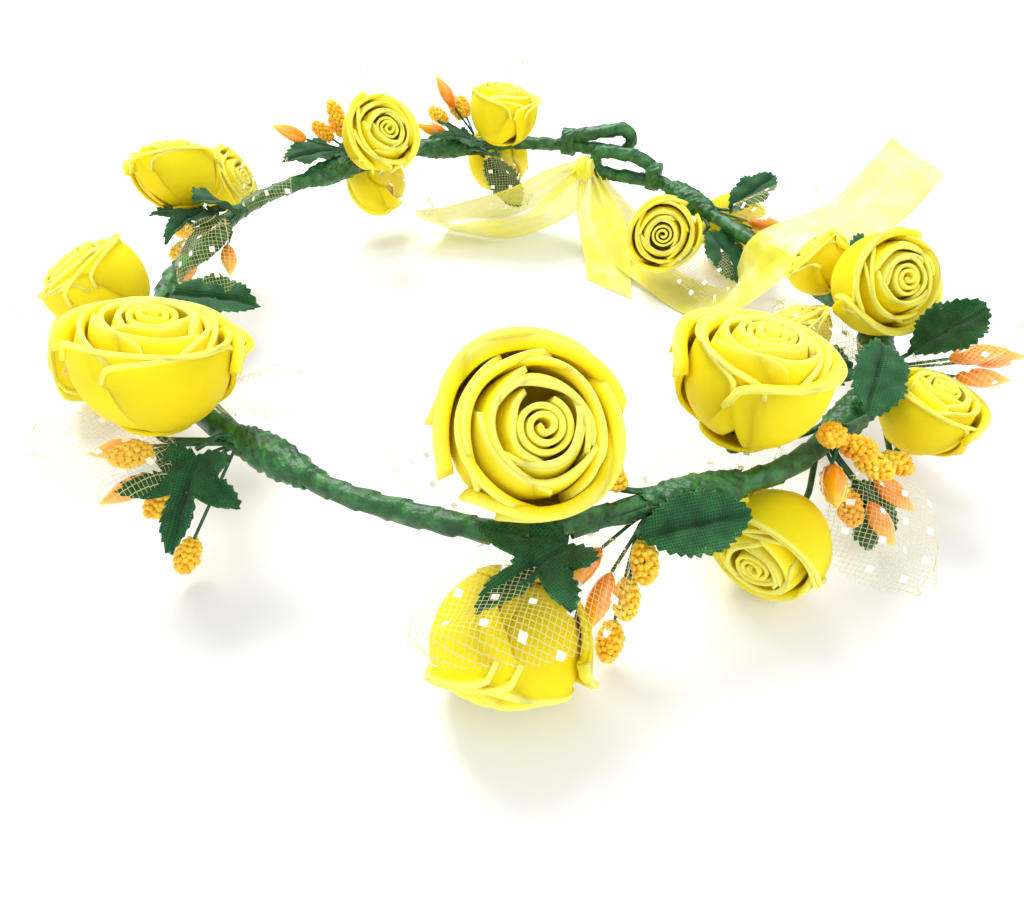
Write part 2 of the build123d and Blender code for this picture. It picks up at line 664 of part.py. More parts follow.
def make_band(stations):
    """A flat ribbon through its stations, straight from each to the next."""
    sections = []
    for index, (middle, width, azimuth, elevation) in enumerate(stations):
        before = stations[max(index - 1, 0)][0]
        after = stations[min(index + 1, len(stations) - 1)][0]
        across = direction(azimuth, elevation)
        onward = (after - before).normalized()
        onward = (onward - across * onward.dot(across)).normalized()
        with BuildSketch(Plane(origin=middle, x_dir=across, z_dir=onward)) as section:
            Rectangle(width, RIBBON_THICKNESS)
        sections.append(section.sketch)
    with BuildPart() as band:
        for first, second in zip(sections, sections[1:]):
            loft([first, second], ruled=True)
    return band.part.solid()


with BuildPart() as knot:
    with Locations(KNOT):
        Sphere(KNOT_RADIUS)

ribbon = [make_band(stations) for stations in (BOW_LOOP, SHORT_TAIL, LONG_TAIL)]
ribbon.append(knot.part)
finish_group(ribbon, "ribbon")
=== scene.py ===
import math
import random

import bmesh
import bpy
import numpy as np
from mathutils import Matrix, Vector, noise


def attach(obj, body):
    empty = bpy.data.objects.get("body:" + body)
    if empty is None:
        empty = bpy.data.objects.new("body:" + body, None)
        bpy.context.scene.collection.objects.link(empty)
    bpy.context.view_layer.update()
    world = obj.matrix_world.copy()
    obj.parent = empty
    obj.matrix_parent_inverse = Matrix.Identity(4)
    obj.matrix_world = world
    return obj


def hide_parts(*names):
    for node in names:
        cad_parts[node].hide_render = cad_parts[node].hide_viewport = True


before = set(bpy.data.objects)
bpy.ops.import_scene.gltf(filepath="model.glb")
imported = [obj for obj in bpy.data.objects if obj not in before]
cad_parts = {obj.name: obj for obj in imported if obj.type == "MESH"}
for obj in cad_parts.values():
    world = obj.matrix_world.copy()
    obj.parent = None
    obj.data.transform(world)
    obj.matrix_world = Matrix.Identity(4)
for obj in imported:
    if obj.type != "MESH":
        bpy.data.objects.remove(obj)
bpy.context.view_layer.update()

bl_info = {
    "name": "Flower crown",
    "version": (1, 0, 0),
    "blender": (4, 5, 0),
    "location": "3D View > Sidebar > Flower crown",
    "description": "Yellow foam roses, beads, cloth leaves and net on a taped wire hoop",
    "category": "Object",
}

MM = 0.001
BUNCHES = "abcdefghij"

# Sizes in mm, where nothing else is said.
TAPE_RADIUS = 2.2          # as in the CAD tape
CORE_RADIUS = 0.7          # as in the CAD wire
SAME_RING = 0.12           # centre points nearer than this are of one ring of the wire's mesh
RING_CORNERS = 6           # fewer corners than this aren't a ring
TABLE_GAP = 0.6            # cloth lies on the table and not in it
FULL_SKIRT = 7.0           # the glued cone's radius under a rose with the thickest petals
BETWEEN_TURN = 2.1         # radians from a CAD petal to the extra one that fills in behind it
INNER_SHARE = 0.45         # the share of a rose's petals that wrap tightly
WIDEST = 0.42              # where a petal is widest, as a share of the way to its rim
RIM_BEND = math.radians(62)     # how far a petal turns inward from there to its rim
BUD_SHARE = 0.74           # the rolled middle's radius for the first petal's
BEAD_SINK = 0.85           # how deep beads sit, in bead radii
BEAD_PACKING = 1.13
TOOTH_STEP = 0.62          # from one point of a leaf's rim to the next
CREASE_WIDTH = 0.85
TAPE_STEP = 0.5            # from one ring of the tape's mesh to the next
WORKED_VOXEL = 0.45
TAPE_RIDGE = 0.16
TAPE_RIDGE_PITCH = 2.4
LEAF_THREAD = 0.55         # from one thread to the next
ORGANZA_THREAD = 0.5
DOT_PITCH = 6.2            # from one dot of the net to the next
RIBBON_FULL = 20.0         # its width, and its least width where it is gathered
RIBBON_GATHERED = 4.5

# The camera, in metres and degrees, and the lamps: place, size in metres and power in watts.
CAMERA_PLACE = (0.05945, -0.1683, 0.1247)
CAMERA_DOWN = 42.8
CAMERA_LEFT = 20
LENS = 24.6
SENSOR = 36.0
LAMPS = {"key": ((-0.45, 0.45, 1.0), 0.6, 14.0), "fill": ((0.7, -0.5, 0.8), 1.0, 4.0)}
AIM = (0, 0, 0.03)


# ---------------------------------------------------------------- reading the CAD nodes
def loose_parts(node):
    """The separate solids of a CAD node, each as (corner points in mm, triangles)."""
    grown = bmesh.new()
    grown.from_mesh(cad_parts[node].data)
    bmesh.ops.remove_doubles(grown, verts=grown.verts, dist=2e-6)
    bmesh.ops.triangulate(grown, faces=grown.faces)
    grown.verts.ensure_lookup_table()
    seen, found = set(), []
    for start in grown.verts:
        if start.index in seen:
            continue
        seen.add(start.index)
        stack, members = [start], []
        while stack:
            vert = stack.pop()
            members.append(vert)
            for edge in vert.link_edges:
                other = edge.other_vert(vert)
                if other.index not in seen:
                    seen.add(other.index)
                    stack.append(other)
        place = {vert.index: i for i, vert in enumerate(members)}
        faces = {face.index: face for vert in members for face in vert.link_faces}
        points = np.array([vert.co for vert in members]) / MM
        triangles = [[place[v.index] for v in face.verts] for face in faces.values()]
        found.append((points, np.array(triangles)))
    grown.free()
    return [part for part in found if len(part[0]) > 3]


def principal(points):
    """The middle of some points and their own axes, longest first."""
    middle = points.mean(0)
    return middle, np.linalg.eigh(np.cov((points - middle).T))[1].T[::-1]


def unit(vector):
    return vector / np.linalg.norm(vector)


def units(rows):
    return rows / np.linalg.norm(rows, axis=1)[:, None]


def face_centres(points, triangles):
    """Face middles and areas, so that a finely meshed spot doesn't weigh more."""
    a, b, c = (points[triangles[:, k]] for k in range(3))
    return (a + b + c) / 3, np.linalg.norm(np.cross(b - a, c - a), axis=1) / 2


def ball_fit(points):
    """The ball that best fits some points: its middle, its radius and how far off they are."""
    left = np.hstack([2 * points, np.ones((len(points), 1))])
    answer = np.linalg.lstsq(left, (points ** 2).sum(1), rcond=None)[0]
    middle = answer[:3]
    away = np.linalg.norm(points - middle, axis=1)
    return middle, away.mean(), away.std() / away.mean()


def wire_route():
    """The centre line of the hoop's wire from one end to the other, in mm."""
    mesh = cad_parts["hoop_wire"].data
    inside = {}
    for loop in mesh.loops:
        corner = np.array(mesh.vertices[loop.vertex_index].co) / MM
        normal = np.array(mesh.corner_normals[loop.index].vector)
        inside.setdefault(loop.vertex_index, corner - normal * CORE_RADIUS)
    centres, number = [], {}
    for index, place in inside.items():
        for known, centre in enumerate(centres):
            if np.linalg.norm(centre - place) < SAME_RING:
                number[index] = known
                break
        else:
            number[index] = len(centres)
            centres.append(place)
    links = {}
    for edge in mesh.edges:
        a, b = (number[v] for v in edge.vertices)
        if a != b:
            links.setdefault(a, set()).add(b)
            links.setdefault(b, set()).add(a)
    count = {k: sum(1 for n in number.values() if n == k) for k in range(len(centres))}
    good = {k for k in links if count[k] >= RING_CORNERS}
    ends = [k for k in good if len([n for n in links[k] if n in good]) == 1]
    walk, last = [ends[0]], None
    while True:
        onward = [k for k in links[walk[-1]] if k in good and k != last and k not in walk]
        if not onward:
            break
        last = walk[-1]
        walk.append(min(onward, key=lambda k: np.linalg.norm(centres[k] - centres[last])))
    return np.array([centres[k] for k in walk])


def resample(line, step):
    """A polyline's points at an even spacing."""
    runs = np.linalg.norm(np.diff(line, axis=0), axis=1)
    along = np.concatenate([[0], np.cumsum(runs)])
    wanted = np.linspace(0, along[-1], max(int(along[-1] / step), 2))
    return np.stack([np.interp(wanted, along, line[:, k]) for k in range(3)], 1), wanted


def nearest(points, targets):
    """The distance from each point to the nearest target."""
    return np.array([np.linalg.norm(targets - point, axis=1).min() for point in points])


# ---------------------------------------------------------------- building meshes
def grid_quads(rows, columns, wrap):
    """A grid's quads, as point numbers. A wrapped grid joins its last column to its first."""
    index = np.arange(rows * columns).reshape(rows, columns)
    if wrap:
        index = np.hstack([index, index[:, :1]])
    corners = [index[:-1, :-1], index[:-1, 1:], index[1:, 1:], index[1:, :-1]]
    return np.stack(corners, -1).reshape(-1, 4)


def new_object(name, data):
    """An object in the scene."""
    made = bpy.data.objects.new(name, data)
    bpy.context.scene.collection.objects.link(made)
    return made


class Shape:
    """Points and faces for one mesh. Each point has a tone and its place on the flat cloth."""

    def __init__(self):
        self.points, self.tones, self.flats, self.faces, self.count = [], [], [], [], 0

    def add(self, points, faces, tone, flat=None):
        """Takes in points and faces, and keeps them off the table."""
        points = np.array(points, float).reshape(-1, 3)
        points[:, 2] = np.maximum(points[:, 2], TABLE_GAP)
        flat = np.zeros((len(points), 2)) if flat is None else np.asarray(flat).reshape(-1, 2)
        self.points.append(points)
        self.tones.append(np.broadcast_to(tone, len(points)))
        self.flats.append(flat)
        self.faces.extend((np.asarray(faces) + self.count).tolist())
        self.count += len(points)

    def grid(self, points, tone, flat=None, wrap=False):
        """Takes in a grid of points, by rows."""
        size = points.shape[:2]
        self.add(points, grid_quads(*size, wrap), np.broadcast_to(tone, size).ravel(), flat)

    def build(self, name, material, nodes, thickness=0.0):
        """The mesh as a piece that stands for its CAD nodes."""
        mesh = bpy.data.meshes.new(name)
        mesh.from_pydata((np.concatenate(self.points) * MM).tolist(), [], self.faces)
        mesh.validate()
        tone = mesh.attributes.new("tone", "FLOAT", "POINT")
        tone.data.foreach_set("value", np.concatenate(self.tones).astype(np.float32))
        flat = np.concatenate(self.flats)
        flat = np.hstack([flat, np.zeros((len(flat), 1))]).astype(np.float32)
        mesh.attributes.new("flat", "FLOAT_VECTOR", "POINT").data.foreach_set("vector", flat.ravel())
        mesh.polygons.foreach_set("use_smooth", [True] * len(mesh.polygons))
        piece = new_object(name, mesh)
        mesh.materials.append(material)
        if thickness:
            shell = piece.modifiers.new("thickness", "SOLIDIFY")
            shell.thickness = thickness * MM
            shell.offset = 0
        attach(piece, "root")
        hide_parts(*nodes)
        return piece


def to_frame(local, origin, axes):
    """Local points turned and moved to the row frame. The axes are the rows of a matrix."""
    return origin + local @ np.array(axes)


def lathe(shape, profile, origin, axes, tone, sides):
    """A surface turned from (radius, height) pairs about the third axis."""
    profile = np.array(profile)
    turn = np.linspace(0, 2 * math.pi, sides, endpoint=False)
    ring = np.stack([np.cos(turn), np.sin(turn)], 1)
    points = np.zeros((len(profile), sides, 3))
    points[..., :2] = profile[:, None, :1] * ring[None]
    points[..., 2] = profile[:, 1:2]
    tone = np.broadcast_to(np.asarray(tone), len(profile))[:, None]
    shape.grid(to_frame(points, origin, axes), tone, wrap=True)


def frame_of(direction):
    """Three axes, the last along a direction."""
    third = unit(direction)
    side = unit(np.cross((0, 0, 1) if abs(third[2]) < 0.9 else (1, 0, 0), third))
    return np.array([side, np.cross(third, side), third])


# ---------------------------------------------------------------- colours and materials
def linear(code):
    """A hex sRGB colour as linear RGBA."""
    parts = [int(code[k:k + 2], 16) / 255 for k in (1, 3, 5)]
    return [p / 12.92 if p <= 0.04045 else ((p + 0.055) / 1.055) ** 2.4 for p in parts] + [1]


def colour_of(name):
    """A colour that the user has set, as linear RGBA."""
    return list(getattr(bpy.context.scene.crown_colours, name))


def size_of(name):
    """A size that the user has set, in mm."""
    return getattr(bpy.context.scene.crown_sizes, name) / MM


def add_node(tree, kind, links=(), values=(), **settings):
    """A node with its settings, socket values and incoming links."""
    made = tree.nodes.new(kind)
    for key, value in settings.items():
        setattr(made, key, value)
    for socket, value in dict(values).items():
        made.inputs[socket].default_value = value
    for socket, source in dict(links).items():
        tree.links.new(source, made.inputs[socket])
    return made


def new_material(name, values):
    """A material with its shader's values set."""
    material = bpy.data.materials.new(name)
    material.use_nodes = True
    shader = material.node_tree.nodes["Principled BSDF"]
    for socket, value in values.items():
        shader.inputs[socket].default_value = value
    return material, material.node_tree, shader


def ramp(tree, factor, stops):
    """A colour ramp through (place, colour) stops. A colour is a hex code or linear RGBA."""
    made = add_node(tree, "ShaderNodeValToRGB", {"Fac": factor})
    while len(made.color_ramp.elements) < len(stops):
        made.color_ramp.elements.new(0.5)
    for element, (place, colour) in zip(made.color_ramp.elements, stops):
        element.position = place
        element.color = linear(colour) if isinstance(colour, str) else colour
    return made.outputs["Color"]


def paint(tree, shader, factor, stops):
    """Colours a material by a ramp through (place, colour) stops."""
    tree.links.new(ramp(tree, factor, stops), shader.inputs["Base Color"])


def bump(tree, height, shader, distance, strength=1.0):
    """Gives a material relief of so many mm."""
    made = add_node(tree, "ShaderNodeBump", {"Height": height},
                    {"Distance": distance * MM, "Strength": strength})
    tree.links.new(made.outputs["Normal"], shader.inputs["Normal"])


def grain(tree, size, detail=2.0):
    """Noise whose lumps are about this many mm across, in the row frame."""
    place = add_node(tree, "ShaderNodeTexCoord").outputs["Object"]
    return add_node(tree, "ShaderNodeTexNoise", {"Vector": place},
                    {"Scale": 1 / (size * MM), "Detail": detail}).outputs["Fac"]


def maths(tree, operation, *terms):
    """The outcome of one operation on numbers and other nodes' outputs."""
    made = add_node(tree, "ShaderNodeMath", operation=operation)
    for socket, term in zip(made.inputs, terms):
        if isinstance(term, (int, float)):
            socket.default_value = term
        else:
            tree.links.new(term, socket)
    return made.outputs[0]


def tone_of(tree):
    return add_node(tree, "ShaderNodeAttribute", attribute_name="tone").outputs["Fac"]


def flat_of(tree):
    return add_node(tree, "ShaderNodeAttribute", attribute_name="flat").outputs["Vector"]


def threads(tree, pitch):
    """Woven threads across and along the flat cloth: 0 between threads, 1 on one."""
    axes = add_node(tree, "ShaderNodeSeparateXYZ", {"Vector": flat_of(tree)})
    waves = [maths(tree, "ABSOLUTE", maths(tree, "SINE", maths(
        tree, "MULTIPLY", axes.outputs[k], math.pi / pitch))) for k in range(2)]
    return maths(tree, "MAXIMUM", *waves)


def rose_foam():
    # Matte craft foam: lemon yellow, with a painted highlight that makes the thin rims paler,
    # painted shade of a warm olive gold down between the petals, and a fine closed-cell grain.
    made, tree, shader = new_material("craft_foam_lemon", {
        "Roughness": 0.66, "Subsurface Weight": 0.35, "Subsurface Scale": 2.0 * MM,
        "Subsurface Radius": (1.0, 0.9, 0.3), "Specular IOR Level": 0.25})
    patch = maths(tree, "MULTIPLY_ADD", grain(tree, 9), 0.3, -0.15)
    mixed = maths(tree, "ADD", tone_of(tree), patch)
    # The ramp's dark low end is painted shade and its pale top end is a painted highlight.
    stops = [(0.0, "#D8B400"), (0.3, "#F4D400"), (0.6, colour_of("rose")), (1.0, "#FFF870")]
    paint(tree, shader, mixed, stops)
    bump(tree, grain(tree, 0.55, 3), shader, 0.12, 0.5)
    return made


def bead_sugar():
    # Small sugar-like beads: opaque yellow orange with a satin skin, each one a little
    # lighter or redder than the next.
    made, tree, shader = new_material("bead_sugar", {
        "Roughness": 0.38, "Subsurface Weight": 0.12, "Subsurface Scale": 0.5 * MM})
    stops = [(0.0, "#FAA008"), (0.35, "#FFC51C"), (0.7, "#FFD938"), (1.0, "#FFEE70")]
    paint(tree, shader, tone_of(tree), stops)
    bump(tree, grain(tree, 0.35), shader, 0.05, 0.6)
    return made


def pip_lacquer():
    # Lacquered stamen pips: a wet deep orange that turns yellow at the tip.
    made, tree, shader = new_material("pip_lacquer", {
        "Roughness": 0.14, "Coat Weight": 0.8, "Coat Roughness": 0.05,
        "Subsurface Weight": 0.1, "Subsurface Scale": 0.8 * MM})
    stops = [(0.0, "#F07808"), (0.4, "#FF9808"), (0.75, "#FFB614"), (1.0, "#FFE048")]
    mixed = maths(tree, "MULTIPLY_ADD", grain(tree, 1.6), 0.35, maths(
        tree, "SUBTRACT", tone_of(tree), 0.17))
    paint(tree, shader, mixed, stops)
    return made


def leaf_cloth():
    # Starched cotton: dark bottle green with single lighter threads showing in a loose
    # weave, lighter towards the rim, a dull sheen, and painted shade darkening the creases.
    made, tree, shader = new_material("starched_cotton", {
        "Roughness": 0.7, "Sheen Weight": 0.12, "Specular IOR Level": 0.3})
    cover = threads(tree, LEAF_THREAD)
    worn = maths(tree, "MULTIPLY", cover, maths(tree, "MULTIPLY_ADD", grain(tree, 3), 0.9, 0.1))
    mixed = maths(tree, "MULTIPLY_ADD", tone_of(tree), 0.35, maths(tree, "MULTIPLY", worn, 0.75))
    stops = [(0.0, "#0A2A12"), (0.35, "#10441E"), (0.65, colour_of("leaf")), (1.0, "#76AE70")]
    paint(tree, shader, mixed, stops)
    bump(tree, cover, shader, 0.22, 0.8)
    gaps = maths(tree, "MULTIPLY", maths(tree, "LESS_THAN", cover, 0.34),
                 maths(tree, "GREATER_THAN", tone_of(tree), 0.45))
    tree.links.new(maths(tree, "SUBTRACT", 1.0, gaps), shader.inputs["Alpha"])
    return made


def floral_tape():
    # Waxed crepe tape: dark green with a waxy shine on its ridges and tiny crossways wrinkles.
    made, tree, shader = new_material("floral_tape", {
        "Roughness": 0.42, "Coat Weight": 0.15, "Coat Roughness": 0.3})
    stops = [(0.25, "#0A3212"), (0.5, colour_of("tape")), (0.8, "#3C8A3C")]
    paint(tree, shader, grain(tree, 2.6, 4), stops)
    wrinkles = maths(tree, "MULTIPLY_ADD", grain(tree, 0.5, 3), 0.6, grain(tree, 1.7))
    bump(tree, wrinkles, shader, 0.45, 0.7)
    return made


def covered_wire():
    # Paper-covered wire: blue-grey thread spun tight over it, dull, with a slanting rib.
    made, tree, shader = new_material("spun_paper_cover", {"Roughness": 0.75})
    paint(tree, shader, grain(tree, 1.2, 3), [(0.3, "#3F605F"), (0.7, "#7C9C9B")])
    bump(tree, grain(tree, 0.35), shader, 0.12)
    return made


def painted_wire():
    # Thin stem wire with a dull dark green paint.
    made, tree, shader = new_material("painted_stem_wire", {"Roughness": 0.5})
    paint(tree, shader, grain(tree, 1.5), [(0.3, "#0D3B1C"), (0.75, "#2A6A35")])
    bump(tree, grain(tree, 0.4), shader, 0.06)
    return made


def annealed_steel():
    # Bare wire ends: dark grey annealed steel with a brushed look.
    made, tree, shader = new_material("annealed_steel", {"Roughness": 0.35, "Metallic": 1.0})
    paint(tree, shader, grain(tree, 0.8), [(0.3, "#5A5C5E"), (0.7, "#8B8D90")])
    return made


def dotted_tulle():
    # Net: pale yellow threads round open cells under a millimetre wide, with whitish
    # flocked square dots in staggered rows. The cells are clear.
    made, tree, shader = new_material("dotted_tulle", {"Roughness": 0.6, "Sheen Weight": 0.2})
    turned = add_node(tree, "ShaderNodeMapping", {"Vector": flat_of(tree)},
                      {"Rotation": (0, 0, math.pi / 4)})
    cells = add_node(tree, "ShaderNodeTexVoronoi", {"Vector": turned.outputs["Vector"]},
                     {"Scale": 1 / size_of("cell"), "Randomness": 0.12},
                     feature="DISTANCE_TO_EDGE", voronoi_dimensions="2D")
    thread = maths(tree, "LESS_THAN", cells.outputs["Distance"], 0.055)
    spots = add_node(tree, "ShaderNodeTexVoronoi", {"Vector": turned.outputs["Vector"]},
                     {"Scale": 1 / DOT_PITCH, "Randomness": 0.0},
                     voronoi_dimensions="2D", distance="CHEBYCHEV")
    dot = maths(tree, "LESS_THAN", spots.outputs["Distance"], 0.105)
    mixed = add_node(tree, "ShaderNodeMix", {"Factor": dot}, data_type="RGBA")
    mixed.inputs[6].default_value = colour_of("tulle")
    mixed.inputs[7].default_value = linear("#FFFDF0")
    tree.links.new(mixed.outputs[2], shader.inputs["Base Color"])
    tree.links.new(maths(tree, "MAXIMUM", maths(tree, "MULTIPLY", thread, 0.8), dot),
                   shader.inputs["Alpha"])
    return made


def organza():
    # Organza ribbon: sheer yellow green with a silky gleam, fine straight threads, a firmer
    # selvedge at both rims, and brighter where two layers lie together.
    made, tree, shader = new_material("organza", {
        "Roughness": 0.3, "Sheen Weight": 0.3})
    cover = threads(tree, ORGANZA_THREAD)
    paint(tree, shader, grain(tree, 7), [(0.35, colour_of("ribbon")), (0.8, "#F6F48C")])
    rim = maths(tree, "GREATER_THAN", tone_of(tree), 0.93)
    sheer = maths(tree, "MULTIPLY_ADD", cover, 0.25, 0.60)
    tree.links.new(maths(tree, "MAXIMUM", sheer, maths(tree, "MULTIPLY", rim, 0.92)),
                   shader.inputs["Alpha"])
    bump(tree, cover, shader, 0.06, 0.6)
    return made


# ---------------------------------------------------------------- what a user would change
def length_property(name, description, default, low, high):
    """A size property. It is given here in mm, and kept in metres as Blender's lengths are."""
    return bpy.props.FloatProperty(
        name=name, description=description, default=default * MM, min=low * MM, max=high * MM,
        subtype="DISTANCE", unit="LENGTH", precision=5)


def colour_property(name, description, code):
    """A colour property, given here as a hex sRGB code."""
    return bpy.props.FloatVectorProperty(
        name=name, description=description, default=linear(code), min=0, max=1, size=4,
        subtype="COLOR")


class CrownSizes(bpy.types.PropertyGroup):
    """The sizes of the soft pieces"""
    petal: length_property("Petal thickness", "Thickness of a foam petal", 0.88, 0.4, 2.0)
    bead: length_property("Bead diameter", "Diameter of one bead", 1.35, 0.8, 3.0)
    leaf: length_property("Leaf thickness", "Thickness of the leaf cloth", 0.35, 0.1, 1.0)
    tooth: length_property("Leaf tooth", "Depth of the cut teeth round a leaf", 0.8, 0.0, 2.0)
    wrap: length_property("Tape pitch", "Distance from one turn of tape to the next", 6.5, 3.0, 15.0)
    cell: length_property("Net cell", "Width of one cell of the net", 0.95, 0.5, 3.0)


class CrownColours(bpy.types.PropertyGroup):
    """The main colours"""
    rose: colour_property("Rose", "Colour of the foam petals", "#FFE90E")
    leaf: colour_property("Leaf", "Colour of the leaf cloth", "#1E642E")
    tape: colour_property("Tape", "Colour of the floral tape", "#1B5C24")
    tulle: colour_property("Tulle", "Colour of the net", "#DCD48E")
    ribbon: colour_property("Ribbon", "Colour of the organza", "#F6F01C")


# ---------------------------------------------------------------- roses
def petal(shape, rose, layer, measured, draw):
    """One petal: cupped about the rose's middle from its foot to its widest, then drawn in to
    a rounded rim. The rims step outward and a little down from the rolled middle."""
    turn, reach, low = measured
    place = layer / (len(rose["petals"]) - 1)
    inner = place < INNER_SHARE
    v = np.linspace(0, 1, 24)[:, None]
    u = np.linspace(-1, 1, 34)[None, :]
    side = np.abs(u)
    spread = math.radians(draw.uniform(84, 98) if inner else draw.uniform(72, 84))
    width = 0.55 + 0.45 * np.sin(np.clip(v * 1.6, 0, 1) * math.pi / 2)
    theta = turn + spread * u * width + draw.uniform(-0.22, 0.22)
    corner = 3.6 if inner else draw.uniform(2.3, 2.8)
    sag = (0.72 if inner else 0.86) * (1 - (1 - side ** corner) ** (1 / corner))
    sag = sag + 0.02 * np.sin(u * draw.uniform(5, 8) + layer)
    rim_away = reach * (0.70 + 0.20 * place)
    rim_tall = rose["head"] * (0.97 - 0.30 * place ** 1.3) * draw.uniform(0.96, 1.03)
    lower = np.clip(1 - v / WIDEST, 0, 1) * low
    upper = np.clip((v - WIDEST) / (1 - WIDEST), 0, 1) * (1 - sag)
    drawn = (1 - np.cos(upper * RIM_BEND)) / (1 - math.cos(RIM_BEND))
    away = reach * np.cos(lower) - (reach - rim_away) * drawn
    tall = reach * np.sin(lower) + rim_tall * np.sin(upper * RIM_BEND) / math.sin(RIM_BEND)
    roll = np.clip((v - 0.80) / 0.20, 0, 1) ** 1.6
    flare = (0.015 if inner else draw.uniform(0.10, 0.24)) * (1 - 0.3 * side ** 2)
    tuck = 0.04 * side ** 3 * (1 if layer % 2 else -1)
    chord = (0.13 if inner else 0.05) * side ** 2 * upper
    away = away + reach * (flare * roll + tuck + chord)
    away = away + reach * 0.028 * np.sin(3.2 * theta + draw.uniform(0, 6)) * upper
    tall = rose["rise"] + tall - reach * 0.45 * flare * roll
    local = np.stack([away * np.cos(theta), away * np.sin(theta), tall + 0 * theta], -1)
    points = to_frame(local, rose["foot"], rose["axes"])
    # Tone: painted shade low at the petal's foot between the petals, rising to a painted highlight on
    # the rim.
    tone = 0.30 + 0.40 * v ** 1.3 + 0.28 * np.clip((v - 0.9) / 0.1, 0, 1) + 0 * u
    shape.grid(points, tone + draw.uniform(-0.05, 0.05))


def rolled_middle(shape, rose, draw):
    """The rose's middle: a strip of foam rolled up from its inner end."""
    u = np.linspace(0, 1, 150)[None, :]
    v = np.linspace(0, 1, 14)[:, None]
    turns = draw.uniform(2.3, 2.9)
    angle = 2 * math.pi * turns * u + draw.uniform(0, 6)
    waist = rose["petals"][0][1] * BUD_SHARE
    away = waist * (0.10 + 0.90 * u ** 0.9)
    top = rose["tall"] + 0.02 * waist - 0.22 * waist * u + 0.05 * waist * np.sin(angle * 1.3)
    floor = rose["rise"] - 0.7 * waist
    tall = floor + (top - floor) * v
    lean = 1 - 0.14 * np.clip(v - 0.45, 0, 1) + 0.10 * np.clip(v - 0.85, 0, 1) ** 1.2
    away = away * lean * (1 + 0.02 * np.sin(angle * 2.1))
    local = np.stack([away * np.cos(angle), away * np.sin(angle), tall], -1)
    points = to_frame(local, rose["foot"], rose["axes"])
    # Tone: painted shade deep down in the roll, lighter towards its top.
    shape.grid(points, 0.12 + 0.72 * v ** 2.2 + 0 * u)


def read_rose(node):
    """The foot, axes and sizes of a rose and where its petals are, from its CAD node."""
    parts = loose_parts(node)
    fits = [ball_fit(points) for points, _ in parts]
    bud = max(range(len(parts)), key=lambda k: fits[k][2])
    middle = np.mean([fit[0] for k, fit in enumerate(fits) if k != bud], axis=0)
    centres, areas = face_centres(*parts[bud])
    mean = (centres * areas[:, None]).sum(0) / areas.sum()
    spread = np.cov((centres - mean).T, aweights=areas)
    values, vectors = np.linalg.eigh(spread)
    odd = 0 if abs(values[1] - values[2]) < abs(values[0] - values[1]) else 2
    axis = vectors[:, odd]
    rel = parts[bud][0] - middle
    height = rel @ axis
    away = np.linalg.norm(rel - height[:, None] * axis, axis=1)
    if height[away.argmax()] > 0:
        axis, height = -axis, -height
    axes = frame_of(axis)
    lowest = height.min()
    rose = {
        "foot": middle + axis * lowest, "axes": axes, "rise": -lowest,
        "tall": height.max() - lowest, "head": height.max(), "petals": [],
        "skirt": away.max(), "skirt_tall": height[away.argmax()] - lowest,
    }
    for k, (points, _) in enumerate(parts):
        if k == bud:
            continue
        rel = points - middle
        reach = np.linalg.norm(rel, axis=1)
        flat = rel.mean(0) @ axes[:2].T
        slope = np.arcsin(np.clip(rel @ axis / reach, -1, 1))
        turn = math.atan2(flat[1], flat[0])
        rose["petals"].append((turn, reach.mean(), slope.min()))
    rose["petals"].sort(key=lambda row: row[1])
    between = []
    for first, second in zip(rose["petals"], rose["petals"][1:]):
        mean = [(a + b) / 2 for a, b in zip(first, second)]
        between.append((first[0] + BETWEEN_TURN, *mean[1:]))
    rose["petals"] = sorted(rose["petals"] + between, key=lambda row: row[1])
    return rose


class OBJECT_OT_crown_roses(bpy.types.Operator):
    """Builds every foam rose: a rolled middle, wraps and outer petals"""
    bl_idname = "object.crown_roses"
    bl_label = "Roses"

    def execute(self, context):
        foam = rose_foam()
        for place in ("upper", "lower"):
            for number, bunch in enumerate(BUNCHES):
                node = f"rose_{place}_{bunch}"
                draw = random.Random(100 * len(place) + ord(place[0]) + number)
                rose = read_rose(node)
                shape = Shape()
                rolled_middle(shape, rose, draw)
                for layer, measured in enumerate(rose["petals"]):
                    petal(shape, rose, layer, measured, draw)
                skirt = [(0.02, rose["skirt_tall"] - 0.5), (rose["skirt"] * 0.6, rose["skirt_tall"]),
                         (rose["skirt"] * 0.97, rose["skirt_tall"] + 1.0)]
                lathe(shape, skirt, rose["foot"], rose["axes"], 0.4, 32)
                thickness = size_of("petal") * rose["skirt"] / FULL_SKIRT
                piece = shape.build(f"{node}_foam", foam, [node], thickness)
                piece.modifiers["thickness"].use_quality_normals = True
        return {"FINISHED"}


# ---------------------------------------------------------------- beads and pips
def ball_mesh(rings, sides):
    """A unit ball's points and quads, for copying."""
    lift = np.linspace(-math.pi / 2 + 0.18, math.pi / 2 - 0.18, rings)[:, None]
    turn = np.linspace(0, 2 * math.pi, sides, endpoint=False)[None, :]
    points = np.stack([np.cos(lift) * np.cos(turn), np.cos(lift) * np.sin(turn),
                       np.sin(lift) + 0 * turn], -1)
    return points.reshape(-1, 3), grid_quads(rings, sides, True)


